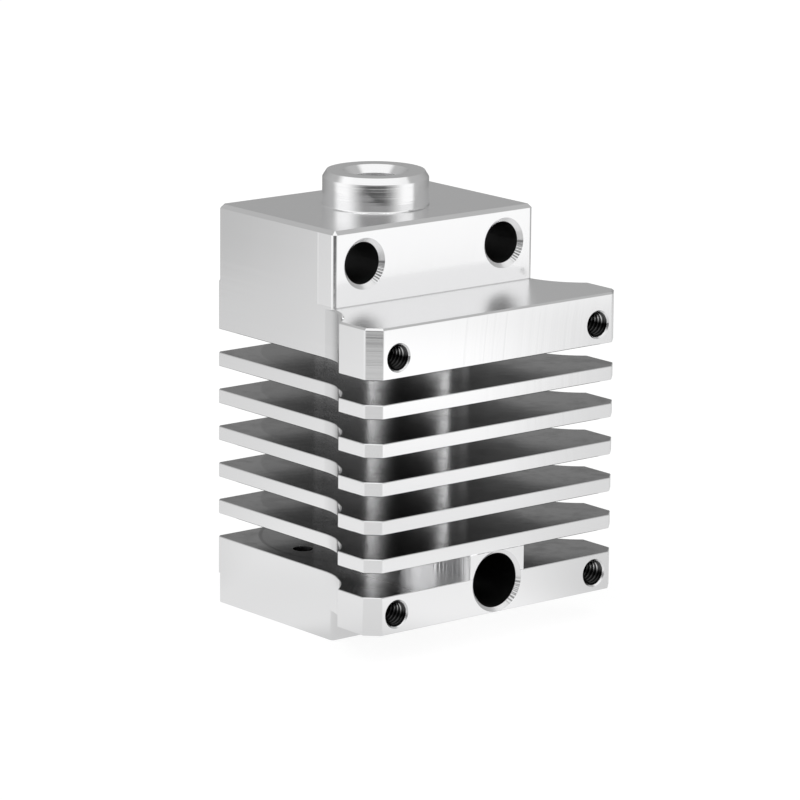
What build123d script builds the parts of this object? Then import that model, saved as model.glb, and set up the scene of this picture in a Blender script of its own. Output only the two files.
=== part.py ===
from build123d import *
import math
import os

# Finned hotend heat sink, machined from one aluminium billet. Millimetres.
# Origin: the filament axis where it leaves the bottom face.
# +Z up towards the filament inlet, -Y towards the fan, +X to the right.

# Column: the narrow block that runs the full height
column_width = 20.0
column_depth = 14.8
column_front_radius = 0.35
column_back_chamfer = 0.4

# Fan side: the wide front of the flange, the fins and the bottom plate
fan_face_width = 25.0
fan_face_reach = 15.3
fan_corner_chamfer = 1.0
fan_side_length = 4.1
flank_radius = 6.0
plate_back_chamfer = 0.25

# Levels, from the bottom face upwards
foot_height = 2.4
bottom_plate_thickness = 3.0
fin_count = 5
fin_thickness = 1.1
fin_gap = 1.9
flange_thickness = 4.0
head_height = 6.0
boss_height = 2.7
boss_diameter = 8.4

# Core that carries the fins, rounded at both ends
core_width = 9.5
core_reach = 4.3

# Web round the clamp bore, in the lowest gap
web_width = 5.4
web_land = 1.4
web_flank_radius = 8.0

# Edges
plate_edge_break = 0.05
flange_edge_break = 0.15
head_edge_chamfer = 0.3
boss_edge_drop = 0.5
boss_edge_run = 0.3
boss_base_fillet = 0.12

# Filament way: inlet cone, guide tube bore and heat break socket on one axis
tube_bore = 4.0
inlet_diameter = 5.2
inlet_angle = 90.0
heat_break_bore = 6.0
heat_break_depth = 20.0
heat_break_lead_in = 0.3

# Mounting holes through the head, front to back
mounting_pitch = 14.0
mounting_bore = 3.3
mounting_mouth = 4.0
mounting_height = 3.2

# Fan screw holes, on a square in the fan face
fan_screw_pitch = 20.0
fan_screw_thread = 2.0
fan_screw_mouth = 2.26
fan_screw_depth = 5.0

# Clamp bore, from the fan face to the heat break socket
clamp_bore = 4.3
clamp_mouth = 4.9
clamp_drop = 0.5

# Heater block screw holes, up through the foot
heater_screw_pitch = 14.2
heater_screw_thread = 2.0
heater_screw_mouth = 2.26
heater_screw_pilot = 1.6
heater_screw_thread_depth = 4.4

# Drills
drill_point_angle = 118.0

# Derived levels
plate_bottom = foot_height
plate_top = plate_bottom + bottom_plate_thickness
fin_pitch = fin_thickness + fin_gap
flange_bottom = plate_top + fin_gap + fin_count * fin_pitch
flange_top = flange_bottom + flange_thickness
head_top = flange_top + head_height
boss_top = head_top + boss_height

# Derived plan positions
column_half = column_width / 2
column_back = column_depth / 2
fan_half = fan_face_width / 2
fan_face = -fan_face_reach
side_end = fan_face + fan_side_length
flank_step = fan_half - column_half
flank_run = math.sqrt(flank_radius**2 - (flank_radius - flank_step) ** 2)
core_half = core_width / 2


def plan_outline() -> Sketch:
    """Outline of a fin: wide fan side, concave flanks, narrow column behind."""
    right = Polyline(
        (0, fan_face),
        (fan_half - fan_corner_chamfer, fan_face),
        (fan_half, fan_face + fan_corner_chamfer),
        (fan_half, side_end),
    )
    flank = RadiusArc((fan_half, side_end), (column_half, side_end + flank_run), flank_radius)
    back = Polyline(
        (column_half, side_end + flank_run),
        (column_half, column_back - plate_back_chamfer),
        (column_half - plate_back_chamfer, column_back),
        (0, column_back),
    )
    half = right + flank + back
    return make_face(half + mirror(half, Plane.YZ))


def column_outline() -> Sketch:
    """Outline of the column above and below the plates, rounded in front and chamfered behind."""
    block = Rectangle(column_width, column_depth)
    block = fillet(block.vertices().group_by(Axis.Y)[0], column_front_radius)
    return chamfer(block.vertices().group_by(Axis.Y)[-1], column_back_chamfer)


def core_outline() -> Sketch:
    """Core section between fins: a round about the filament axis, drawn out to the fan side."""
    return Pos(0, -core_reach / 2) * SlotCenterToCenter(core_reach, core_width, rotation=90)


def web_outline() -> Sketch:
    """Web from the fan face, waisted by a round cutter on each flank, into the core's round end."""
    web_half = web_width / 2
    land_end = (web_half, fan_face + web_land)
    shoulder_reach = core_half * math.sin(math.radians(45))
    shoulder = (shoulder_reach, -core_reach - shoulder_reach)
    land = Polyline((0, fan_face), (web_half, fan_face), land_end)
    waist = RadiusArc(land_end, shoulder, web_flank_radius)
    rear = Polyline(shoulder, (shoulder_reach, -core_reach), (0, -core_reach))
    half = land + waist + rear
    return make_face(half + mirror(half, Plane.YZ))


def plate(bottom: float, thickness: float, lower_break: float, upper_break: float) -> Part:
    """One plate of the finned body, with its outline edges broken."""
    blank = extrude(plan_outline(), thickness)
    blank = chamfer(blank.faces().sort_by(Axis.Z)[0].edges(), lower_break)
    blank = chamfer(blank.faces().sort_by(Axis.Z)[-1].edges(), upper_break)
    return Pos(0, 0, bottom) * blank


def boss_section() -> Sketch:
    """Half section of the boss: filleted base, side, edge chamfer and flat top."""
    radius = boss_diameter / 2
    base = Line((0, 0), (radius + boss_base_fillet, 0))
    base_round = RadiusArc((radius + boss_base_fillet, 0), (radius, boss_base_fillet), boss_base_fillet)
    upper = Polyline(
        (radius, boss_base_fillet),
        (radius, boss_height - boss_edge_drop),
        (radius - boss_edge_run, boss_height),
        (0, boss_height),
        (0, 0),
    )
    return make_face(base + base_round + upper)


def drill(steps: list[tuple[float, float]], mouth: float, point_angle: float = 180) -> Part:
    """Stepped drill down the Z axis from the origin.

    Each step is a diameter and the depth at which it ends. The mouth is chamfered at
    45 degrees out to its own diameter, and a point angle of 180 gives a flat end.
    """
    lead = (mouth - steps[0][0]) / 2
    starts = [lead] + [end for _, end in steps[:-1]]
    corners = [(0, 0), (mouth / 2, 0)]
    for (diameter, end), start in zip(steps, starts):
        corners += [(diameter / 2, -start), (diameter / 2, -end)]
    last_diameter, last_end = steps[-1]
    point = last_diameter / 2 / math.tan(math.radians(point_angle / 2))
    corners.append((0, -last_end - point))
    section = make_face(Polyline(*corners, close=True))
    return revolve(Plane.XZ * section, Axis.Z)


# Head with its boss
head = extrude(column_outline(), head_height + flange_edge_break)
head = chamfer(head.faces().sort_by(Axis.Z)[-1].edges(), head_edge_chamfer)
head = Pos(0, 0, flange_top - flange_edge_break) * head
boss = Pos(0, 0, head_top) * revolve(Plane.XZ * boss_section(), Axis.Z)

# Foot under the bottom plate
foot = extrude(column_outline(), foot_height + plate_edge_break)
foot = chamfer(foot.faces().sort_by(Axis.Z)[0].edges(), plate_edge_break)

# Finned body
core = Pos(0, 0, plate_top) * extrude(core_outline(), flange_bottom - plate_top)
web = Pos(0, 0, plate_top) * extrude(web_outline(), fin_gap)
bottom_plate = plate(plate_bottom, bottom_plate_thickness, plate_edge_break, plate_edge_break)
flange = plate(flange_bottom, flange_thickness, plate_edge_break, flange_edge_break)
fins = [
    plate(plate_top + fin_gap + index * fin_pitch, fin_thickness, plate_edge_break, plate_edge_break)
    for index in range(fin_count)
]
sink = foot + bottom_plate + web + core + fins + flange + head + boss

# Filament way
socket_mouth = heat_break_bore + 2 * heat_break_lead_in
socket = drill([(heat_break_bore, heat_break_depth)], socket_mouth, drill_point_angle)
tube_way = Pos(0, 0, heat_break_depth) * extrude(Circle(tube_bore / 2), boss_top - heat_break_depth)
inlet_run = (inlet_diameter - tube_bore) / 2 / math.tan(math.radians(inlet_angle / 2))
inlet = Pos(0, 0, boss_top - inlet_run / 2) * Cone(tube_bore / 2, inlet_diameter / 2, inlet_run)
sink -= [Rot(180, 0, 0) * socket, tube_way, inlet]

# Mounting holes, chamfered at both faces of the head
mounting_drill = drill([(mounting_bore, column_back)], mounting_mouth)
mounting_level = flange_top + mounting_height
head_front = Plane((0, -column_back, mounting_level), (1, 0, 0), (0, -1, 0))
head_back = Plane((0, column_back, mounting_level), (1, 0, 0), (0, 1, 0))
mounting_places = GridLocations(mounting_pitch, 0, 2, 1)
sink -= [face * place * mounting_drill for face in (head_front, head_back) for place in mounting_places]

# Fan screw holes, the lower pair on the middle of the bottom plate
fan_screw_drill = drill([(fan_screw_thread, fan_screw_depth)], fan_screw_mouth, drill_point_angle)
fan_centre = plate_bottom + bottom_plate_thickness / 2 + fan_screw_pitch / 2
fan_square = Plane((0, fan_face, fan_centre), (1, 0, 0), (0, -1, 0))
fan_screw_places = GridLocations(fan_screw_pitch, fan_screw_pitch, 2, 2)
sink -= [fan_square * place * fan_screw_drill for place in fan_screw_places]

# Clamp bore, to the middle of the heat break socket
clamp_drill = drill([(clamp_bore, fan_face_reach)], clamp_mouth)
sink -= Plane((0, fan_face, plate_top - clamp_drop), (1, 0, 0), (0, -1, 0)) * clamp_drill

# Heater block screw holes, threaded in the foot and open into the lowest gap
heater_screw_steps = [
    (heater_screw_thread, heater_screw_thread_depth),
    (heater_screw_pilot, plate_top),
]
heater_screw_drill = Rot(180, 0, 0) * drill(heater_screw_steps, heater_screw_mouth)
heater_screw_places = GridLocations(heater_screw_pitch, 0, 2, 1)
sink -= [place * heater_screw_drill for place in heater_screw_places]

os.makedirs("parts", exist_ok=True)
export_step(sink, "parts/heat_sink.step")
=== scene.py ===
"""Looks for the hotend heat sink: bare machined aluminium in a plain white studio.

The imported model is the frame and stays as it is. This script adds the screw threads, the
finish of the metal, the light, the floor and the camera. Blender lengths are in metres.
SinkPlan and the metal's materials work in millimetres, and so does a name that ends in _mm.
"""
import logging
import math
from dataclasses import dataclass, field
from enum import Enum
from functools import cached_property, reduce
from typing import Mapping, Optional, Union

import bpy
import numpy as np
from mathutils import Matrix


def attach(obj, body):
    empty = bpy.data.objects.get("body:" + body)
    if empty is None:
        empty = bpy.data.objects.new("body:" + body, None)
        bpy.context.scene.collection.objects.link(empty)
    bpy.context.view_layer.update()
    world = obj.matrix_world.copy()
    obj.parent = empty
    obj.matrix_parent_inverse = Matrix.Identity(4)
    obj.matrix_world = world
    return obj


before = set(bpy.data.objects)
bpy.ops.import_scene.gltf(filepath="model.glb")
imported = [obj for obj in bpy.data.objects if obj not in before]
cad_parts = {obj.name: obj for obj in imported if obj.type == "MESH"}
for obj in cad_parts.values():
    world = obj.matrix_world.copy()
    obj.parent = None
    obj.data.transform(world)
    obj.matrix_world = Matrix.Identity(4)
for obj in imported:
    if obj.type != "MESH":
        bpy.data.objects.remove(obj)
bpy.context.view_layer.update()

MM = 0.001
ROOT = "root"
WHITE = (1.0, 1.0, 1.0, 1.0)
MAX_BOUNCES = 16
GLOSSY_BOUNCES = 12
log = logging.getLogger("heat_sink")

Operand = Union["Value", float]
Source = Union["Value", bpy.types.NodeSocket, float]
Span = tuple[float, float]
Triple = tuple[float, float, float]
Stops = tuple[Span, ...]
Settings = Optional[Mapping[str, object]]
Inputs = Optional[Mapping[Union[int, str], object]]


class Value:
    """A number on a shader socket, with arithmetic that adds its own Math nodes."""

    def __init__(self, graph: "Graph", socket: bpy.types.NodeSocket) -> None:
        """Keeps the graph and the socket that holds the number."""
        self.graph = graph
        self.socket = socket

    def __add__(self, other: Operand) -> "Value":
        """Sum."""
        return self.graph.math("ADD", self, other)

    def __radd__(self, other: Operand) -> "Value":
        """Reflected sum."""
        return self.graph.math("ADD", other, self)

    def __sub__(self, other: Operand) -> "Value":
        """Difference."""
        return self.graph.math("SUBTRACT", self, other)

    def __rsub__(self, other: Operand) -> "Value":
        """Reflected difference."""
        return self.graph.math("SUBTRACT", other, self)

    def __mul__(self, other: Operand) -> "Value":
        """Product."""
        return self.graph.math("MULTIPLY", self, other)

    def __rmul__(self, other: Operand) -> "Value":
        """Reflected product."""
        return self.graph.math("MULTIPLY", other, self)

    def __truediv__(self, other: Operand) -> "Value":
        """Quotient."""
        return self.graph.math("DIVIDE", self, other)

    def __rtruediv__(self, other: Operand) -> "Value":
        """Reflected quotient."""
        return self.graph.math("DIVIDE", other, self)

    def __pow__(self, other: Operand) -> "Value":
        """Power."""
        return self.graph.math("POWER", self, other)

    def __gt__(self, other: Operand) -> "Value":
        """1 where this is the greater, 0 elsewhere."""
        return self.graph.math("GREATER_THAN", self, other)

    def __lt__(self, other: Operand) -> "Value":
        """1 where this is the less, 0 elsewhere."""
        return self.graph.math("LESS_THAN", self, other)

    def __abs__(self) -> "Value":
        """Magnitude."""
        return self.graph.math("ABSOLUTE", self)


class Graph:
    """A node tree that is written as expressions."""

    def __init__(self, tree: bpy.types.NodeTree) -> None:
        """Empties the tree and keeps it."""
        self.tree = tree
        tree.nodes.clear()

    def node(self, kind: str, settings: Settings = None, inputs: Inputs = None) -> bpy.types.Node:
        """Adds any node.

        Args:
            kind: The node's type, such as ShaderNodeMix.
            settings: Properties that are set first. The key stops holds a ramp's
                (position, level) pairs.
            inputs: Socket name or index to a value, a Value or a socket.

        Returns:
            The new node.
        """
        made = self.tree.nodes.new(kind)
        for name, setting in (settings or {}).items():
            if name == "stops":
                self._fill_ramp(made.color_ramp, setting)
            else:
                setattr(made, name, setting)
        for key, entry in (inputs or {}).items():
            target = made.inputs[key]
            if isinstance(entry, Value):
                self.tree.links.new(entry.socket, target)
            elif isinstance(entry, bpy.types.NodeSocket):
                self.tree.links.new(entry, target)
            else:
                target.default_value = entry
        return made

    @staticmethod
    def _fill_ramp(ramp: bpy.types.ColorRamp, stops: Stops) -> None:
        """Gives a ramp grey stops.

        Args:
            ramp: The ramp of a new node.
            stops: Position and level of each stop.
        """
        while len(ramp.elements) < len(stops):
            ramp.elements.new(1.0)
        for element, (position, level) in zip(ramp.elements, stops):
            element.position = position
            element.color = (level, level, level, 1.0)

    def number(self, kind: str, settings: Settings = None, inputs: Inputs = None) -> Value:
        """Adds any node and reads its first output as a number."""
        return Value(self, self.node(kind, settings, inputs).outputs[0])

    def math(self, operation: str, *operands: Operand) -> Value:
        """One Math node on one, two or three operands."""
        return self.number("ShaderNodeMath", {"operation": operation}, dict(enumerate(operands)))

    def ramp_up(self, value: Value, start: Operand, end: Operand) -> Value:
        """Smooth step from 0 at start to 1 at end; start may be the greater."""
        inputs = {"Value": value, "From Min": start, "From Max": end}
        return self.number("ShaderNodeMapRange", {"interpolation_type": "SMOOTHSTEP"}, inputs)

    def within(self, value: Value, low: float, high: float) -> Value:
        """1 where a number lies between two limits, 0 elsewhere."""
        return (value > low) * (value < high)

    def either(self, *masks: Value) -> Value:
        """Greatest of several masks."""
        return reduce(lambda first, second: self.math("MAXIMUM", first, second), masks)

    def mix(self, factor: Operand, low: Operand, high: Operand) -> Value:
        """Number between low and high by a factor from 0 to 1."""
        return low + (high - low) * factor

    def reach(self, across: Value, along: Value, centre: Span = (0.0, 0.0)) -> Value:
        """Distance in a plane from a centre."""
        across, along = across - centre[0], along - centre[1]
        return self.math("SQRT", across * across + along * along)

    def lines(self, place: Value, per_mm: float, detail: float, rough: float = 0.6) -> Value:
        """Noise about 0.5 along one coordinate in millimetres, the same across it."""
        inputs = {"W": place, "Scale": per_mm, "Detail": detail, "Roughness": rough}
        return self.number("ShaderNodeTexNoise", {"noise_dimensions": "1D"}, inputs)

    def noise(self, place: bpy.types.NodeSocket, per_mm: float, detail: float, rough: float = 0.5) -> Value:
        """Noise about 0.5 at a place in millimetres."""
        inputs = {"Vector": place, "Scale": per_mm, "Detail": detail, "Roughness": rough}
        return self.number("ShaderNodeTexNoise", None, inputs)

    def profile(self, value: Value, stops: Stops) -> Value:
        """Level read from a ramp of (position, level) stops."""
        return self.number("ShaderNodeValToRGB", {"stops": stops}, {0: value})

    def light_path(self, name: str) -> Value:
        """One number of the light's path, such as Ray Depth."""
        return Value(self, self.node("ShaderNodeLightPath").outputs[name])

    def split(self, vector: bpy.types.NodeSocket) -> tuple[Value, Value, Value]:
        """The X, Y and Z of a vector."""
        outputs = self.node("ShaderNodeSeparateXYZ", None, {0: vector}).outputs
        return Value(self, outputs[0]), Value(self, outputs[1]), Value(self, outputs[2])

    def join(self, x: Operand, y: Operand, z: Operand) -> bpy.types.NodeSocket:
        """A vector or colour from three numbers."""
        return self.node("ShaderNodeCombineXYZ", None, {0: x, 1: y, 2: z}).outputs[0]

    def grey(self, level: Value) -> bpy.types.NodeSocket:
        """A grey of one level."""
        return self.join(level, level, level)

    def blend(self, factor: Source, first: bpy.types.Node, second: bpy.types.Node) -> bpy.types.Node:
        """Two shaders mixed: the first where the factor is 0, the second where it is 1."""
        inputs = {0: factor, 1: first.outputs[0], 2: second.outputs[0]}
        return self.node("ShaderNodeMixShader", None, inputs)

    def metal(self, inputs: Mapping[str, object]) -> None:
        """Ends a material with one metal shader, given its colour, roughness and normal."""
        self.end(self.node("ShaderNodeBsdfPrincipled", None, {"Metallic": 1.0, **inputs}))

    def end(self, shader: bpy.types.Node, output: str = "ShaderNodeOutputMaterial") -> None:
        """Ends the tree with a shader."""
        self.node(output, None, {"Surface": shader.outputs[0]})


def new_material(name: str) -> tuple[bpy.types.Material, Graph]:
    """Makes a material.

    Args:
        name: Its name.

    Returns:
        The material and its empty graph.
    """
    material = bpy.data.materials.new(name)
    material.use_nodes = True
    return material, Graph(material.node_tree)


def new_object(name: str, data: bpy.types.ID) -> bpy.types.Object:
    """Makes an object and links it to the scene.

    Args:
        name: Its name.
        data: Its mesh or camera.

    Returns:
        The object, at the origin.
    """
    made = bpy.data.objects.new(name, data)
    bpy.context.scene.collection.objects.link(made)
    return made


@dataclass(frozen=True)
class SinkPlan:
    """Sizes of the heat sink that its finish and threads follow, in millimetres.

    A bore or a mouth is given by its radius, and a half by its distance from the middle.
    """

    boss_base: float = 32.42
    boss_side_top: float = 34.5
    inlet_bottom: float = 34.4
    tube_wall_bottom: float = 32.0
    tube_bore: float = 2.0
    socket_bore: float = 3.0
    socket_end: float = 22.0
    head_half: float = 7.4
    skim_line: float = -5.4
    flange_top: float = 26.3
    flange_bottom: float = 22.3
    first_fin: float = 7.3
    fin_thickness: float = 1.1
    fin_pitch: float = 3.0
    plate_top: float = 5.4
    fan_face: float = -15.3
    fan_corner: Span = (11.5, -15.3)
    side_corner: Span = (12.5, -14.3)
    web_half: float = 3.5
    web_back: float = -7.5
    mounting_half: float = 7.0
    mounting_level: float = 29.5
    mounting_bore: float = 1.65
    mounting_mouth: float = 2.0
    mounting_mouth_depth: float = 0.35
    clamp_level: float = 4.9
    clamp_bore: float = 2.15
    clamp_mouth: float = 2.45
    clamp_mouth_depth: float = 0.3
    screw_bore: float = 1.0
    screw_mouth: float = 1.13
    screw_mouth_depth: float = 0.13
    fan_screw_half: float = 10.0
    fan_screw_level: float = 13.9
    fan_screw_end: float = -9.69
    heater_screw_half: float = 7.1


class Zones:
    """Masks of the heat sink's surfaces, from their place and the way they face.

    A mask is 1 on its surface and 0 elsewhere, and is worked out when it is first asked for.
    It reaches past the sizes that it follows by a slack or a wider margin, in millimetres,
    because the surface lies on those very limits.
    """

    slack: float = 0.01
    mouth_slack: float = 0.005
    margin: float = 0.1
    facing_share: float = 0.9
    leaning_share: float = 0.3
    crease_shade_height: float = 0.07
    pocket_rise_x: Span = (-10.5, -6.5)
    pocket_end_x: float = -2.0
    pocket_rise_y: Span = (-5.0, -8.0)

    def __init__(self, graph: Graph, plan: SinkPlan) -> None:
        """Reads the surface's own coordinates in millimetres and the way it faces.

        Args:
            graph: The material's tree.
            plan: Sizes that the masks follow.
        """
        self.graph = graph
        self.plan = plan
        coordinates = graph.node("ShaderNodeTexCoord").outputs
        metres = {0: coordinates["Object"], "Scale": 1 / MM}
        self.place = graph.node("ShaderNodeVectorMath", {"operation": "SCALE"}, metres).outputs[0]
        self.x, self.y, self.z = graph.split(self.place)
        self.aside = abs(self.x)
        out_x, out_y, out_z = graph.split(coordinates["Normal"])
        self.level = abs(out_z) > self.facing_share
        self.upright = abs(out_z) < self.leaning_share
        self.facing_fan = (out_y < -self.facing_share) * self.upright
        self.facing_side = (abs(out_x) > self.facing_share) * self.upright

    @cached_property
    def axis_reach(self) -> Value:
        """Distance from the filament axis."""
        return self.graph.reach(self.x, self.y)

    @cached_property
    def mounting_reach(self) -> Value:
        """Distance from the axis of the nearest mounting hole."""
        return self.graph.reach(self.aside, self.z, (self.plan.mounting_half, self.plan.mounting_level))

    @cached_property
    def clamp_reach(self) -> Value:
        """Distance from the axis of the clamp bore."""
        return self.graph.reach(self.x, self.z, (0.0, self.plan.clamp_level))

    @cached_property
    def fan_screw_reach(self) -> Value:
        """Distance from the axis of the nearest fan screw hole."""
        half = self.plan.fan_screw_half
        return self.graph.reach(self.aside, abs(self.z - self.plan.fan_screw_level), (half, half))

    @cached_property
    def heater_screw_reach(self) -> Value:
        """Distance from the axis of the nearest heater screw hole."""
        return self.graph.reach(self.aside, self.y, (self.plan.heater_screw_half, 0.0))

    @cached_property
    def in_head(self) -> Value:
        """Everything above the flange."""
        return self.z > self.plan.flange_top

    @cached_property
    def gaps(self) -> Value:
        """Surfaces between the plates, which are the plates' flat sides, the core and the web."""
        graph, plan, slack = self.graph, self.plan, self.slack
        between = graph.within(self.z, plan.plate_top - slack, plan.flange_bottom + slack)
        phase = graph.math("FLOORED_MODULO", self.z - plan.first_fin, plan.fin_pitch)
        below_fins = self.z < plan.first_fin + slack
        off_fin = graph.either(below_fins, phase > plan.fin_thickness - slack, phase < slack)
        return between * off_fin * (self.y > plan.fan_face + 2 * slack)

    @cached_property
    def mounting_holes(self) -> Value:
        """Walls of the mounting holes, without their mouths."""
        return self.mounting_reach < self.plan.mounting_bore + self.slack

    @cached_property
    def holes(self) -> Value:
        """Walls of every hole, without their mouths."""
        graph, plan, slack = self.graph, self.plan, self.slack
        fan_screw_start = plan.fan_face + plan.screw_mouth_depth - slack
        tube_start = plan.socket_end - self.margin
        clamp = (self.clamp_reach < plan.clamp_bore + slack) * (self.y < 0.0)
        fan_screws = self.fan_screw_reach < plan.screw_bore + slack
        heater_screws = self.heater_screw_reach < plan.screw_bore + slack
        socket = self.axis_reach < plan.socket_bore + slack
        tube = self.axis_reach < plan.tube_bore + slack
        return graph.either(
            self.mounting_holes,
            clamp,
            fan_screws * graph.within(self.y, fan_screw_start, plan.fan_screw_end),
            socket * (self.z < plan.socket_end),
            tube * graph.within(self.z, tube_start, plan.tube_wall_bottom),
            heater_screws * (self.z < plan.plate_top - slack),
        )

    @cached_property
    def mouths(self) -> Value:
        """Chamfered mouths of the mounting holes, the clamp bore and the fan screw holes."""
        plan = self.plan
        mounting = self.ring(self.mounting_reach, plan.mounting_bore, plan.mounting_mouth)
        clamp = self.ring(self.clamp_reach, plan.clamp_bore, plan.clamp_mouth)
        fan_screws = self.ring(self.fan_screw_reach, plan.screw_bore, plan.screw_mouth)
        on_head = abs(self.y) > plan.head_half - plan.mounting_mouth_depth - self.margin / 2
        on_fan_side = self.y < plan.fan_face + plan.clamp_mouth_depth + self.slack
        return self.graph.either(mounting * on_head, clamp * on_fan_side, fan_screws * on_fan_side)

    def ring(self, reach: Value, bore: float, mouth: float) -> Value:
        """Mask of the ring between a bore and the edge of its mouth."""
        return self.graph.within(reach, bore + self.slack, mouth + self.mouth_slack)

    @cached_property
    def seam(self) -> Value:
        """Thin line of painted shade on the head's front, in the crease where it meets the flange."""
        front = self.facing_fan * (self.y > -self.plan.head_half - self.margin / 2)
        top = self.plan.flange_top
        return front * self.graph.within(self.z, top - self.margin, top + self.crease_shade_height)

    @cached_property
    def pocket(self) -> Value:
        """Level faces of the lowest gap, beside the web, which the metal paints lighter than the other gap
        faces as painted light.
        """
        beside = self.graph.ramp_up(self.x, *self.pocket_rise_x) * (self.x < self.pocket_end_x)
        ahead = self.graph.ramp_up(self.y, *self.pocket_rise_y)
        return beside * ahead * (self.z < self.plan.first_fin + self.slack)

    @cached_property
    def tube_wall(self) -> Value:
        """Wall of the guide tube bore just below the inlet."""
        near_axis = self.axis_reach < self.plan.tube_bore + self.slack
        top = self.plan.inlet_bottom + self.slack
        return near_axis * self.graph.within(self.z, self.plan.tube_wall_bottom, top)

    @cached_property
    def skimmed(self) -> Value:
        """Strip along the head's front corners that a second cut left brighter."""
        line, blur = self.plan.skim_line, self.margin / 2
        ahead = self.graph.ramp_up(self.y, line + blur, line - blur)
        return ahead * self.facing_side * (self.z > self.plan.flange_top + self.margin)

    @cached_property
    def boss_side(self) -> Value:
        """The turned side of the boss, above its base fillet."""
        return (self.z > self.plan.boss_base) * self.upright

    @cached_property
    def web_flanks(self) -> Value:
        """The two sides of the web round the clamp bore."""
        plan = self.plan
        web = (self.aside < plan.web_half) * (self.y < plan.web_back)
        return web * self.graph.within(self.z, plan.plate_top, plan.first_fin) * self.facing_side


@dataclass(frozen=True)
class Marks:
    """Noise for tool marks: marks a millimetre, how broken they are, and their strength."""

    per_mm: float
    detail: float
    strength: float

    def draw(self, graph: Graph, along: Value) -> Value:
        """Marks in lines across one coordinate, up to their strength."""
        return graph.lines(along, self.per_mm, self.detail) * self.strength

    def spread(self, graph: Graph, place: bpy.types.NodeSocket) -> Value:
        """Marks with no direction, up to their strength."""
        return graph.noise(place, self.per_mm, self.detail) * self.strength


@dataclass(frozen=True)
class Stains:
    """Uneven patches: patches a millimetre, the noise that starts and fills one, and its tone."""

    per_mm: float
    limits: Span
    share: float
    detail: float = 3.0
    rough: float = 0.6

    def draw(self, graph: Graph, place: bpy.types.NodeSocket) -> Value:
        """Share of the metal's tone, 1 off the patches."""
        patches = graph.ramp_up(graph.noise(place, self.per_mm, self.detail, self.rough), *self.limits)
        return graph.mix(patches, 1.0, self.share)


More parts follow.
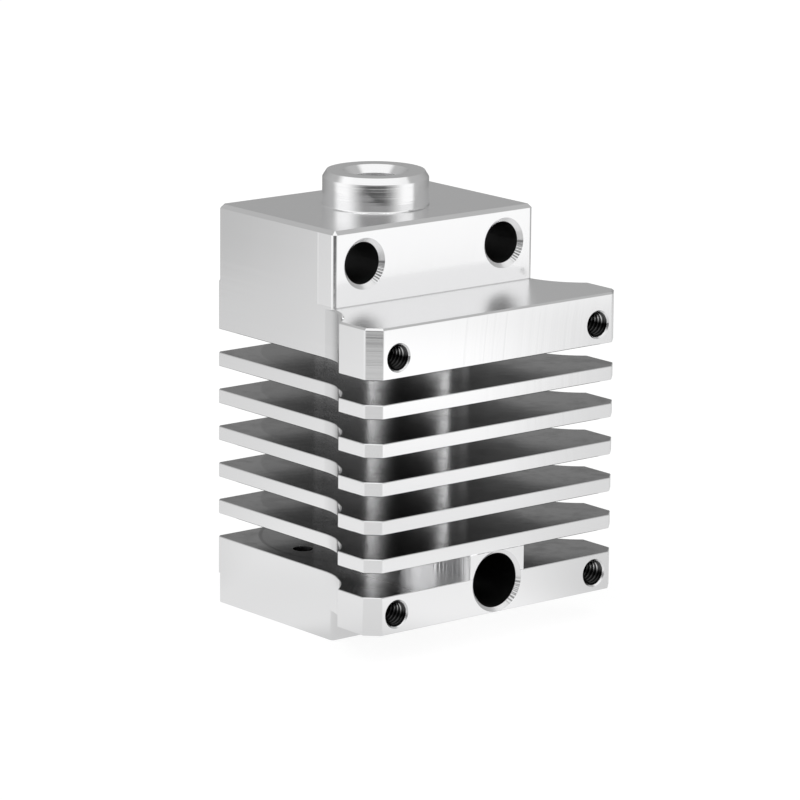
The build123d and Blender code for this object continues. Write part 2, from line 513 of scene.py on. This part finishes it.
@dataclass(frozen=True)
class MachinedAluminium:
    """Bare aluminium, milled on its faces, turned on its boss and slotted between its fins.

    Tones are linear, heights and places are in millimetres, and a mill's centre is the
    centre of the arcs that it leaves. Some tones are painted shade: the level faces between
    the fins, the hole walls and the crease where the head meets the flange are darker than
    bare aluminium, and the pocket beside the web is painted lighter as light.
    """

    plan: SinkPlan = field(default_factory=SinkPlan)
    tone: float = 0.91
    blue_share: float = 1.005
    # Painted shade: the level faces between the fins are far darker than bare aluminium.
    gap_face_painted_shade: float = 0.31
    # Painted light: beside the web the gap faces are lighter, where light reaches them.
    pocket_lit_tone: float = 0.85
    gap_core_tone: float = 0.92
    # Painted shade: hole walls are far darker than bare aluminium, a little less in the mounting holes.
    painted_hole_shade: float = 0.2
    painted_mounting_hole_shade: float = 0.3
    mouth_tone: float = 0.83
    # Painted shade in the crease where the head's front meets the flange.
    crease_shade_tone: float = 0.6
    skimmed_tone: float = 0.98
    side_roughness: float = 0.13
    top_roughness: float = 0.24
    flange_top_roughness: float = 0.27
    gap_face_roughness: float = 0.2
    pocket_roughness: float = 0.32
    gap_core_roughness: float = 0.1
    hole_roughness: float = 0.35
    mouth_roughness: float = 0.24
    tube_wall_roughness: float = 0.5
    top_mill_centre: Span = (-22.0, -34.0)
    front_mill_centre: Span = (40.0, 20.0)
    fine_marks: Marks = Marks(5.0, 2.0, 0.0012)
    broad_marks: Marks = Marks(1.1, 1.0, 0.0025)
    waves: Marks = Marks(0.13, 1.0, 0.012)
    boss_bands: Marks = Marks(2.2, 2.0, 0.009)
    boss_flare_start: float = 33.9
    boss_flare: float = 0.005
    skim_depth: float = 0.004
    scratches: Marks = Marks(2.6, 2.0, 0.05)
    scratch_limits: Span = (0.5, 0.68)
    scratch_rise_x: Span = (-5.5, -3.5)
    scratch_fall_x: Span = (2.5, 0.0)
    ring_radius: float = 9.0
    ring_edge: Span = (0.1, -0.15)
    ring_shade: float = 0.72
    ring_line_half: Span = (0.22, 0.05)
    ring_line_shade: float = 0.42
    stains: Stains = Stains(0.4, (0.5, 0.66), 0.72)
    blotches: Stains = Stains(0.9, (0.47, 0.64), 0.84)
    web_streaks: Marks = Marks(3.0, 3.0, 0.05)
    land_end: float = -14.4
    land_slope: float = 0.17
    groove_half: float = 0.12
    groove_depth: float = 0.02
    rib_count: float = 50.0
    rib_height: float = 0.013
    rib_middle_deg: float = -32.0
    rib_fade_deg: Span = (34.0, 12.0)
    mouth_flatness: float = 0.33
    ribless_reach: float = 1.3
    corner_width: float = 0.14
    corner_slope: float = 0.2

    def build(self) -> bpy.types.Material:
        """Makes the material.

        Returns:
            A metal whose tone, roughness and fine relief follow the machining of each zone,
            with painted shade between the fins, in the holes and in the crease at the flange.
        """
        material, graph = new_material("machined_aluminium")
        zones = Zones(graph, self.plan)
        tone = self.tone_map(zones)
        relief = graph.mix(zones.mouths, self.relief(zones), self.chatter(zones)) * (1.0 - zones.holes)
        bump = graph.node("ShaderNodeBump", None, {"Strength": 1.0, "Distance": MM, "Height": relief})
        graph.metal({
            "Base Color": graph.join(tone, tone, tone * self.blue_share),
            "Roughness": self.roughness_map(zones),
            "Normal": bump.outputs[0],
        })
        return material

    def tone_map(self, zones: Zones) -> Value:
        """Tone of every zone, each laid over the ones before.

        Args:
            zones: The surface's masks and places.

        Returns:
            Linear tone of the metal.
        """
        graph = zones.graph
        # The level faces between the fins carry painted shade; the core's upright faces keep a bare tone.
        gap_tone = graph.mix(zones.level, self.gap_core_tone, self.slot_stains_and_shade(zones))
        outer_tone = graph.mix(zones.skimmed, self.tone * self.front_scratches(zones), self.skimmed_tone)
        tone = graph.mix(zones.gaps, outer_tone, gap_tone)
        # Painted shade line in the crease at the flange.
        tone = graph.mix(zones.seam, tone, self.crease_shade_tone)
        tone = graph.mix(zones.mouths, tone, self.mouth_tone)
        # Hole walls get painted shade.
        mounting = zones.in_head * zones.mounting_holes
        painted_hole_shade = graph.mix(mounting, self.painted_hole_shade, self.painted_mounting_hole_shade)
        return graph.mix(zones.holes, tone, painted_hole_shade)

    def roughness_map(self, zones: Zones) -> Value:
        """Roughness of every zone, each laid over the ones before.

        Args:
            zones: The surface's masks and places.

        Returns:
            Roughness of the metal.
        """
        graph = zones.graph
        on_flange = zones.z < self.plan.flange_top + zones.margin
        level_rough = graph.mix(on_flange, self.top_roughness, self.flange_top_roughness)
        rough = graph.mix(zones.level, self.side_roughness, level_rough)
        face_rough = graph.mix(zones.pocket, self.gap_face_roughness, self.pocket_roughness)
        gap_rough = graph.mix(zones.level, self.gap_core_roughness, face_rough)
        rough = graph.mix(zones.gaps, rough, gap_rough)
        rough = graph.mix(zones.mouths, rough, self.mouth_roughness)
        rough = graph.mix(zones.tube_wall, rough, self.tube_wall_roughness)
        return graph.mix(zones.holes, rough, self.hole_roughness)

    def front_arc(self, zones: Zones) -> Value:
        """Distance from the middle of the arcs that the mill leaves on the fan side."""
        return zones.graph.reach(zones.x, zones.z, self.front_mill_centre)

    def front_scratches(self, zones: Zones) -> Value:
        """Faint arcs that a cutter left on the middle of the flange's front.

        Args:
            zones: The surface's masks and places.

        Returns:
            Share of the metal's tone, 1 where there is no mark.
        """
        graph, plan, scratches = zones.graph, self.plan, self.scratches
        lines = graph.lines(self.front_arc(zones), scratches.per_mm, scratches.detail)
        marks = graph.ramp_up(lines, *self.scratch_limits)
        window = graph.ramp_up(zones.x, *self.scratch_rise_x) * graph.ramp_up(zones.x, *self.scratch_fall_x)
        on_face = zones.facing_fan * (zones.y < plan.fan_face + zones.margin)
        return 1.0 - marks * window * on_face * (zones.z > plan.flange_bottom) * scratches.strength

    def slot_stains_and_shade(self, zones: Zones) -> Value:
        """Tone of the level faces between the fins, painted shade far darker than bare aluminium.

        Inside a ring about the axis, deeper between the fins, they are darker still: painted
        shade. The slotting cutter leaves a dark line at that ring on the bottom plate. Coolant
        leaves uneven stains.

        Args:
            zones: The surface's masks and places.

        Returns:
            Linear tone of the metal.
        """
        graph, radius = zones.graph, self.ring_radius
        outer, inner = self.ring_edge
        inside = graph.ramp_up(zones.axis_reach, radius + outer, radius + inner)
        on_plate = zones.z < self.plan.plate_top + zones.margin
        line = graph.ramp_up(abs(zones.axis_reach - radius), *self.ring_line_half) * on_plate
        shade = graph.mix(inside, 1.0, self.ring_shade) * graph.mix(line, 1.0, self.ring_line_shade)
        shade = shade * self.stains.draw(graph, zones.place) * self.blotches.draw(graph, zones.place)
        # Painted shade on the gap faces, and painted light in the pocket beside the web.
        return graph.mix(zones.pocket, shade * self.gap_face_painted_shade, self.pocket_lit_tone)

    def relief(self, zones: Zones) -> Value:
        """Height of the tool marks in millimetres.

        Faces have arcs of a face mill, upright sides have level lines, and the boss has
        turned bands. The corners of the fan side are rounded over.

        Args:
            zones: The surface's masks and places.

        Returns:
            Height along the surface's own normal.
        """
        graph = zones.graph
        along = graph.mix(zones.level, zones.z, graph.reach(zones.x, zones.y, self.top_mill_centre))
        along = graph.mix(zones.facing_fan, along, self.front_arc(zones))
        milled = self.fine_marks.draw(graph, along) + self.broad_marks.draw(graph, along)
        waves = self.waves.spread(graph, zones.place)
        flare = graph.ramp_up(zones.z, self.boss_flare_start, self.plan.boss_side_top) * self.boss_flare
        bands = self.boss_bands.draw(graph, zones.z) + flare
        height = milled + waves * (1.0 - zones.boss_side) + bands * zones.boss_side
        height = height - zones.skimmed * self.skim_depth
        return height + self.rounded_corners(zones) + self.web_marks(zones)

    def web_marks(self, zones: Zones) -> Value:
        """Marks on the web's flanks: upright streaks, and a rounded land with a groove behind it.

        Args:
            zones: The surface's masks and places.

        Returns:
            Height in millimetres, 0 off the web.
        """
        graph = zones.graph
        from_land = zones.y - self.land_end
        streaks = self.web_streaks.draw(graph, zones.y)
        land = graph.math("MINIMUM", from_land, 0.0) * self.land_slope
        groove = graph.ramp_up(abs(from_land), self.groove_half, 0.0) * self.groove_depth
        return (streaks + land - groove) * zones.web_flanks

    def chatter(self, zones: Zones) -> Value:
        """Ribs that the countersink leaves across the larger mouths, one every few degrees.

        Each rib is a wave of the angle round its hole, strongest low on the right. A slope
        from the edge inwards makes each mouth flatter.

        Args:
            zones: The surface's masks and places.

        Returns:
            Height in millimetres.
        """
        graph, plan, in_head = zones.graph, self.plan, zones.in_head
        up = graph.mix(in_head, zones.z - plan.clamp_level, zones.z - plan.mounting_level)
        across = graph.mix(in_head, zones.x, zones.aside - plan.mounting_half)
        across = graph.mix((zones.x < 0.0) * in_head, across, across * -1.0)
        turn = graph.math("ARCTAN2", up, across)
        from_middle = abs(turn - math.radians(self.rib_middle_deg))
        fade = graph.ramp_up(from_middle, *(math.radians(angle) for angle in self.rib_fade_deg))
        ribs = graph.math("SINE", turn * self.rib_count) * (fade * self.rib_height)
        edge = graph.mix(in_head, plan.clamp_mouth, plan.mounting_mouth)
        flatter = (edge - graph.reach(across, up)) * self.mouth_flatness
        return (ribs + flatter) * (zones.fan_screw_reach > self.ribless_reach)

    def rounded_corners(self, zones: Zones) -> Value:
        """Round-over of the fan side's upright corners.

        The height falls with the square of the nearness to the corner, so that the normals
        of the two faces meet.

        Args:
            zones: The surface's masks and places.

        Returns:
            Height in millimetres, 0 away from the corners.
        """
        graph = zones.graph
        fall = 0.0
        for corner in (self.plan.fan_corner, self.plan.side_corner):
            away = graph.reach(zones.aside, zones.y, corner)
            near = graph.math("MAXIMUM", 1.0 - away / self.corner_width, 0.0)
            fall = near * near + fall
        return fall * (-self.corner_slope * self.corner_width) * zones.upright


@dataclass(frozen=True)
class ThreadedAluminium:
    """Threaded aluminium: crests near the bare tone, and the valleys between them painted dark as shade.

    The lower wall of each fan screw hole is painted darker than the rest: painted shade, where it mirrors
    the dark inside of the hole.
    """

    crest_tone: float = 0.85
    valley_shade_tone: float = 0.08
    crest_radius: Span = (0.9, 0.83)
    lower_shade_share: float = 0.07
    lower_shade_fade: Span = (0.4, -0.15)
    fan_holes_end: float = -5.0
    gloss_per_mm: float = 5.0
    gloss_detail: float = 2.0
    roughness: Span = (0.12, 0.28)
    plan: SinkPlan = field(default_factory=SinkPlan)

    def build(self) -> bpy.types.Material:
        """Makes the material.

        Returns:
            A metal whose tone follows the depth of the thread as painted shade, with an uneven gloss.
        """
        material, graph = new_material("threaded_aluminium")
        plan = self.plan
        zones = Zones(graph, plan)
        radius = graph.mix(zones.y > self.fan_holes_end, zones.fan_screw_reach, zones.heater_screw_reach)
        # Painted shade: the valleys between the crests are dark.
        tone = graph.mix(graph.ramp_up(radius, *self.crest_radius), self.valley_shade_tone, self.crest_tone)
        in_upper_row = zones.z > plan.fan_screw_level
        low_row = plan.fan_screw_level - plan.fan_screw_half
        high_row = plan.fan_screw_level + plan.fan_screw_half
        above_axis = zones.z - graph.mix(in_upper_row, low_row, high_row)
        # Painted shade on the lower wall of each fan screw hole.
        lower = graph.ramp_up(above_axis, *self.lower_shade_fade) * (zones.y < self.fan_holes_end)
        tone = tone * graph.mix(lower, 1.0, self.lower_shade_share)
        gloss = graph.noise(zones.place, self.gloss_per_mm, self.gloss_detail)
        graph.metal({"Base Color": graph.grey(tone), "Roughness": graph.mix(gloss, *self.roughness)})
        return material


@dataclass(frozen=True)
class ThreadPlace:
    """One threaded hole, in millimetres.

    Attributes:
        name: Name of its piece.
        mouth: Middle of its mouth.
        inward: Unit vector down the hole.
        length: Depth at which its thread ends.
    """

    name: str
    mouth: Triple
    inward: Triple
    length: float


@dataclass(frozen=True)
class ScrewThreads:
    """Cut M2 threads in the fan screw holes and the heater screw holes."""

    major_radius_mm: float = 0.985
    minor_radius_mm: float = 0.8
    shell_radius_mm: float = 1.05
    least_wall_mm: float = 0.01
    pitch_mm: float = 0.4
    start_mm: float = 0.1
    fan_length_mm: float = 4.5
    heater_length_mm: float = 4.3
    ridge_height: float = 1.15
    flank_slope: float = 2.4
    around: int = 56
    per_turn: int = 16
    plan: SinkPlan = field(default_factory=SinkPlan)

    def places(self) -> list[ThreadPlace]:
        """Finds the holes.

        Returns:
            The four fan screw holes and the two heater screw holes.
        """
        plan = self.plan
        back, up = (0, 1, 0), (0, 0, 1)
        found = []
        for side, x in (("left", -1.0), ("right", 1.0)):
            for row, z in (("lower", -1.0), ("upper", 1.0)):
                level = plan.fan_screw_level + z * plan.fan_screw_half
                mouth = (x * plan.fan_screw_half, plan.fan_face, level)
                name = f"fan_thread_{row}_{side}"
                found.append(ThreadPlace(name, mouth, back, self.fan_length_mm))
            mouth = (x * plan.heater_screw_half, 0.0, 0.0)
            found.append(ThreadPlace(f"heater_thread_{side}", mouth, up, self.heater_length_mm))
        return found

    def inner_radius(self, turn: np.ndarray, depth: np.ndarray, length: float) -> np.ndarray:
        """Radius of the threaded wall.

        A ridge with sloping flanks and a narrow flat crest winds inwards, one pitch a turn.
        It fades out over the last pitch, and the mouth's 45 degree cone trims its start.

        Args:
            turn: Angle round the axis as a share of a turn.
            depth: Depth below the mouth in millimetres.
            length: Depth at which the thread ends.

        Returns:
            Radius in millimetres.
        """
        phase = np.mod(depth / self.pitch_mm - turn, 1.0)
        ridge = np.clip(self.ridge_height - self.flank_slope * np.abs(phase - 0.5), 0.0, 1.0)
        fade = np.clip((length - depth) / self.pitch_mm, 0.0, 1.0)
        radius = self.major_radius_mm - (self.major_radius_mm - self.minor_radius_mm) * ridge * fade
        cone = np.minimum(self.plan.screw_mouth - depth, self.shell_radius_mm - self.least_wall_mm)
        return np.maximum(radius, cone)

    def shell(self, place: ThreadPlace) -> bpy.types.Object:
        """Closed sleeve whose inner wall is the thread, sunk in the wall of its hole.

        The grid runs round the axis from +X, and along a loop: down the outer wall and back
        up the inner one. Both ways close on themselves, so the sleeve has no open edge.

        Args:
            place: The hole.

        Returns:
            The new mesh object, in metres.
        """
        rows = int(round((place.length - self.start_mm) / self.pitch_mm * self.per_turn))
        inner_depth = np.linspace(place.length, self.start_mm, rows)
        turn = np.arange(self.around) / self.around
        depth = np.concatenate([[self.start_mm, place.length], inner_depth])
        turns, depths = np.meshgrid(turn, depth)
        radius = self.inner_radius(turns, depths, place.length)
        radius[:2] = self.shell_radius_mm
        inward, sideways = np.array(place.inward, float), np.array([1.0, 0.0, 0.0])
        third = np.cross(inward, sideways)
        angle = turns[..., None] * 2 * math.pi
        points = np.array(place.mouth) + depths[..., None] * inward
        points = points + radius[..., None] * (np.cos(angle) * sideways + np.sin(angle) * third)
        index = np.arange(points.shape[0] * self.around).reshape(-1, self.around)
        below, beside = np.roll(index, -1, 0), np.roll(index, -1, 1)
        corner = np.roll(below, -1, 1)
        faces = np.stack([index, beside, corner, below], -1).reshape(-1, 4)
        mesh = bpy.data.meshes.new(place.name)
        mesh.from_pydata((points.reshape(-1, 3) * MM).tolist(), [], faces.tolist())
        mesh.polygons.foreach_set("use_smooth", np.ones(len(faces), bool))
        mesh.update()
        return new_object(place.name, mesh)

    def build(self) -> list[bpy.types.Object]:
        """Makes and dresses every thread.

        Returns:
            The new objects.
        """
        material = ThreadedAluminium().build()
        made = []
        for place in self.places():
            piece = self.shell(place)
            piece.data.materials.append(material)
            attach(piece, ROOT)
            made.append(piece)
        return made


class RayDepth(Enum):
    """Limits of the ray depth that part light reflected a few times from light lost in a gap.

    At the world the depth is one more than at the floor.
    """

    ONCE_AT_FLOOR = 1.5
    DEEP_AT_FLOOR = 2.5
    DEEP_AT_WORLD = 3.5


@dataclass(frozen=True)
class Bearing:
    """A direction as seen from the object, with the camera straight ahead.

    Attributes:
        ahead: Its part towards the camera.
        up: Its upward part.
        turn_deg: Its angle from straight ahead, above 0 on the right and below 0 on the left.
        on_right: 1 on the right, 0 on the left.
    """

    ahead: Value
    up: Value
    turn_deg: Value
    on_right: Value


@dataclass(frozen=True)
class Surroundings:
    """What the metal mirrors: a dark card by the camera, two side lights and one overhead.

    Levels are brightness, where 1 is white, and angles are bearings from the camera, the
    same on both sides. The names that start with deep are for light between the fins.
    """

    front_azimuth_deg: float = 230.7
    high_up: Span = (0.0, 0.14)
    card_level: float = 0.09
    card_upper_level: float = 0.27
    side_light_level: float = 1.08
    high_side_share: float = 0.89
    low_rise_deg: Span = (4.0, 68.0)
    low_rise_power: float = 1.6
    high_rise_deg: Span = (20.0, 66.0)
    right_fall_deg: Span = (84.0, 95.0)
    left_fall_deg: Span = (84.0, 107.0)
    behind_light: float = 0.48
    behind_deg: Span = (95.0, 165.0)
    back_level: float = 0.30
    back_slope: float = 0.33
    overhead_level: float = 1.02
    overhead_height_deg: float = 70.0
    overhead_spread_deg: Span = (51.0, 33.0)
    deep_card_level: float = 0.04
    deep_side_level: float = 3.5
    deep_behind_level: float = 0.36
    deep_right_rise_deg: Span = (28.0, 77.0)
    deep_left_rise_deg: Span = (14.0, 79.0)
    deep_rise_power: float = 3.2
    deep_fall_deg: Span = (79.0, 87.0)

    def bearing(self, graph: Graph, direction: bpy.types.NodeSocket) -> Bearing:
        """Turns a direction so that the camera is straight ahead.

        Args:
            graph: The tree to add nodes to.
            direction: Unit vector away from the object.

        Returns:
            The direction's bearing.
        """
        x, y, up = graph.split(direction)
        front = math.radians(self.front_azimuth_deg)
        ahead = x * math.cos(front) + y * math.sin(front)
        aside = y * math.cos(front) - x * math.sin(front)
        turn_deg = graph.math("ARCTAN2", aside, ahead) * (180 / math.pi)
        return Bearing(ahead, up, turn_deg, aside > 0.0)

    def level(self, graph: Graph, direction: bpy.types.NodeSocket) -> Value:
        """Brightness of the studio in a direction.

        The card by the camera is dark, each side light rises smoothly from it, and the
        level falls again towards the back. A round light stands overhead.

        Args:
            graph: The tree to add nodes to.
            direction: Unit vector away from the object.

        Returns:
            Brightness, where 1 is white.
        """
        seen = self.bearing(graph, direction)
        angle = abs(seen.turn_deg)
        high = graph.ramp_up(seen.up, *self.high_up)
        low_rise = graph.ramp_up(angle, *self.low_rise_deg) ** self.low_rise_power
        rise = graph.mix(high, low_rise, graph.ramp_up(angle, *self.high_rise_deg))
        card = graph.mix(high, self.card_level, self.card_upper_level)
        side_light = graph.mix(high * seen.on_right, 1.0, self.high_side_share) * self.side_light_level
        side = graph.mix(rise, card, side_light)
        back = self.back_level + seen.up * self.back_slope
        behind = graph.mix(graph.ramp_up(angle, *self.behind_deg), self.behind_light, back)
        left_fall = graph.ramp_up(angle, *self.left_fall_deg)
        right_fall = graph.ramp_up(angle, *self.right_fall_deg)
        level = graph.mix(graph.mix(seen.on_right, left_fall, right_fall), side, behind)
        height = math.radians(self.overhead_height_deg)
        along = seen.ahead * math.cos(height) + seen.up * math.sin(height)
        spread = (math.cos(math.radians(edge)) for edge in self.overhead_spread_deg)
        level = graph.mix(graph.ramp_up(along, *spread), level, self.overhead_level)
        deep = graph.light_path("Ray Depth") > RayDepth.DEEP_AT_WORLD.value
        return graph.mix(deep, level, self.between_fins(angle, seen.on_right))

    def between_fins(self, angle: Value, on_right: Value) -> Value:
        """Brightness that is left after several reflections between the fins.

        Args:
            angle: Bearing from the camera in degrees, without its sign.
            on_right: 1 on the camera's right.

        Returns:
            A narrow light on each side, and dark elsewhere.
        """
        graph = angle.graph
        left_rise = graph.ramp_up(angle, *self.deep_left_rise_deg) ** self.deep_rise_power
        right_rise = graph.ramp_up(angle, *self.deep_right_rise_deg) ** self.deep_rise_power
        rise = graph.mix(on_right, left_rise, right_rise)
        side = graph.mix(rise, self.deep_card_level, self.deep_side_level)
        return graph.mix(graph.ramp_up(angle, *self.deep_fall_deg), side, self.deep_behind_level)

    def build(self) -> None:
        """Makes the world: white to the camera, and the studio to all that the metal mirrors."""
        world = bpy.data.worlds.new("studio")
        world.use_nodes = True
        bpy.context.scene.world = world
        graph = Graph(world.node_tree)
        level = self.level(graph, graph.node("ShaderNodeTexCoord").outputs["Generated"])
        light = graph.node("ShaderNodeBackground", None, {"Color": graph.grey(level)})
        white = graph.node("ShaderNodeBackground", None, {"Color": WHITE})
        seen = graph.blend(graph.light_path("Is Camera Ray"), light, white)
        graph.end(seen, "ShaderNodeOutputWorld")


@dataclass(frozen=True)
class Floor:
    """Wide floor: white to the camera but for the shadow, and clear from below.

    The metal mirrors levels of the floor's own. They change outwards, by the distance as a
    share of span_mm, which a name that ends in _out holds, and round the object, by the
    bearing in degrees, below 0 on the left. The levels are lower close to the object and dark
    behind it, which is painted shadow of the object.
    """

    surroundings: Surroundings = field(default_factory=Surroundings)
    size: float = 4.0
    drop_mm: float = 0.01
    near_mm: Span = (152.0, 138.0)
    span_mm: float = 200.0
    front_deg: Span = (15.0, 45.0)
    # Lower levels close in are painted shadow of the object.
    front: Stops = (
        (0.0, 0.6), (0.12, 0.7), (0.18, 0.76), (0.42, 0.72),
        (0.5, 0.72), (0.615, 0.67), (0.7, 0.5), (0.76, 0.24),
    )
    right: Stops = (
        (0.0, 0.65), (0.12, 0.95), (0.18, 0.92), (0.25, 0.86),
        (0.385, 1.0), (0.515, 1.15), (0.59, 1.2), (0.65, 0.97),
    )
    right_end_levels: Span = (0.68, 0.76)
    right_end_out: Span = (0.15, 0.25)
    right_fall_start: Stops = ((0.15, 0.58), (0.3, 0.7), (0.5, 0.715), (0.62, 0.74))
    right_fall_unit_deg: float = 100.0
    right_fall_end_deg: Span = (79.0, 81.0)
    right_fall_end_out: Span = (0.4, 0.62)
    left_levels: Triple = (0.88, 0.87, 0.73)
    left_middle_deg: Span = (-55.0, -75.0)
    left_end_deg: Span = (-86.0, -103.0)
    far_left_level: float = 0.66
    far_left_out: Span = (0.48, 0.56)
    close_left_shadow_share: float = 0.93
    close_left_shadow_out: Span = (0.09, 0.16)
    # Painted shadow of the object on the floor behind it.
    behind_shadow_levels: Span = (0.2, 0.62)
    behind_deg: Span = (106.0, 152.0)
    paper_level: float = 0.9
    paper_share: float = 0.25
    glow_strength: float = 1.16

    def levels(self, graph: Graph, place: bpy.types.NodeSocket) -> Value:
        """Brightness of the floor as the metal mirrors it.

        Far out the floor takes the surroundings' level at its bearing. Nearer it has its own
        levels in front, on the right, on the left and behind.

        Args:
            graph: The tree to add nodes to.
            place: The floor's own coordinates, in metres.

        Returns:
            Brightness, where 1 is white.
        """
        length = graph.node("ShaderNodeVectorMath", {"operation": "LENGTH"}, {0: place})
        reach = Value(graph, length.outputs["Value"])
        away = graph.node("ShaderNodeVectorMath", {"operation": "NORMALIZE"}, {0: place}).outputs[0]
        seen = self.surroundings.bearing(graph, away)
        angle = abs(seen.turn_deg)
        out = reach / (self.span_mm * MM)
        sides = graph.mix(seen.on_right, self.left_level(seen, out), self.right_level(seen, out))
        near = graph.mix(graph.ramp_up(angle, *self.front_deg), graph.profile(out, self.front), sides)
        once = graph.light_path("Ray Depth") < RayDepth.ONCE_AT_FLOOR.value
        # Painted shadow behind the object, less dark on the right at the first reflection.
        behind = graph.mix(seen.on_right * once, *self.behind_shadow_levels)
        near = graph.mix(graph.ramp_up(angle, *self.behind_deg), near, behind)
        nearness = graph.ramp_up(reach, *(edge * MM for edge in self.near_mm))
        return graph.mix(nearness, self.surroundings.level(graph, away), near)

    def right_level(self, seen: Bearing, out: Value) -> Value:
        """Brightness on the right, which changes to its last level at a bearing.

        Args:
            seen: Bearing of the place on the floor.
            out: Its distance as a share of span_mm.

        Returns:
            Brightness, where 1 is white.
        """
        graph = out.graph
        end = graph.mix(graph.ramp_up(out, *self.right_end_out), *self.right_end_levels)
        fall_start = graph.profile(out, self.right_fall_start) * self.right_fall_unit_deg
        fall_end = graph.mix(graph.ramp_up(out, *self.right_fall_end_out), *self.right_fall_end_deg)
        fall = graph.ramp_up(seen.turn_deg, fall_start, fall_end)
        return graph.mix(fall, graph.profile(out, self.right), end)

    def left_level(self, seen: Bearing, out: Value) -> Value:
        """Brightness on the left: three levels from front to back, a little less close in as painted
        shadow.

        Args:
            seen: Bearing of the place on the floor.
            out: Its distance as a share of span_mm.

        Returns:
            Brightness, where 1 is white.
        """
        graph = out.graph
        front, middle, end = self.left_levels
        end = graph.mix(graph.ramp_up(out, *self.far_left_out), end, self.far_left_level)
        level = graph.mix(graph.ramp_up(seen.turn_deg, *self.left_end_deg), middle, end)
        level = graph.mix(graph.ramp_up(seen.turn_deg, *self.left_middle_deg), front, level)
        return level * graph.mix(graph.ramp_up(out, *self.close_left_shadow_out), self.close_left_shadow_share, 1.0)

    def material(self) -> bpy.types.Material:
        """Makes the floor's material.

        Returns:
            Paper that glows white to the camera and mirrors as its levels say. It is clear to
            light from deep in a gap and to all that comes from below.
        """
        material, graph = new_material("white_floor")
        level = self.levels(graph, graph.node("ShaderNodeTexCoord").outputs["Object"])
        lit = graph.node("ShaderNodeEmission", None, {"Color": graph.grey(level)})
        clear = graph.node("ShaderNodeBsdfTransparent")
        deep = graph.light_path("Ray Depth") > RayDepth.DEEP_AT_FLOOR.value
        mirrored = graph.blend(deep, lit, clear)
        paper = graph.node("ShaderNodeBsdfDiffuse", None, {"Color": (self.paper_level,) * 3 + (1.0,)})
        glow = graph.node("ShaderNodeEmission", None, {"Color": WHITE, "Strength": self.glow_strength})
        white = graph.blend(self.paper_share, glow, paper)
        shown = graph.blend(graph.light_path("Is Camera Ray"), paper, white)
        shown = graph.blend(graph.light_path("Is Glossy Ray"), shown, mirrored)
        below = graph.node("ShaderNodeNewGeometry").outputs["Backfacing"]
        graph.end(graph.blend(below, shown, clear))
        return material

    def build(self) -> bpy.types.Object:
        """Makes the floor, a hair under the object so that the two don't coincide.

        Returns:
            The floor.
        """
        half, level = self.size / 2, -self.drop_mm * MM
        corners = [(x * half, y * half, level) for x, y in ((-1, -1), (1, -1), (1, 1), (-1, 1))]
        mesh = bpy.data.meshes.new("floor")
        mesh.from_pydata(corners, [], [(0, 1, 2, 3)])
        mesh.materials.append(self.material())
        floor = new_object("floor", mesh)
        return floor


@dataclass(frozen=True)
class StudioCamera:
    """The camera at the photograph's viewing angle, with its axes as unit vectors."""

    place_mm: Triple = (-233.065, -288.009, 101.439)
    right: Triple = (0.77505, -0.63183, 0.00857)
    up: Triple = (0.13475, 0.17852, 0.97466)
    back: Triple = (-0.61736, -0.75426, 0.22351)
    lens_mm: float = 215.63
    sensor_mm: float = 36.0
    clip_start: float = 0.01

    def build(self) -> bpy.types.Object:
        """Makes the camera and gives it to the scene.

        Returns:
            The camera.
        """
        lens = bpy.data.cameras.new("camera")
        lens.sensor_width = self.sensor_mm
        lens.sensor_fit = "HORIZONTAL"
        lens.lens = self.lens_mm
        lens.clip_start = self.clip_start
        camera = new_object("camera", lens)
        placed = np.eye(4)
        placed[:3, :3] = np.array([self.right, self.up, self.back]).T
        placed[:3, 3] = np.array(self.place_mm) * MM
        camera.matrix_world = Matrix(placed.tolist())
        bpy.context.scene.camera = camera
        return camera


def main() -> None:
    """Dresses the heat sink, adds its threads, builds the studio and reports each piece."""
    logging.basicConfig(level=logging.INFO, format="%(name)s: %(message)s")
    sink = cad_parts["heat_sink"]
    sink.data.materials.clear()
    sink.data.materials.append(MachinedAluminium().build())
    log.info("%s: %d faces", sink.name, len(sink.data.polygons))
    for thread in ScrewThreads().build():
        log.info("%s: %d faces", thread.name, len(thread.data.polygons))
    surroundings = Surroundings()
    surroundings.build()
    for stand in (Floor(surroundings).build(), StudioCamera().build()):
        log.info("%s: in place", stand.name)
    scene = bpy.context.scene
    scene.view_settings.view_transform = "Standard"
    scene.cycles.max_bounces = MAX_BOUNCES
    scene.cycles.glossy_bounces = GLOSSY_BOUNCES


if __name__ == "__main__":
    main()
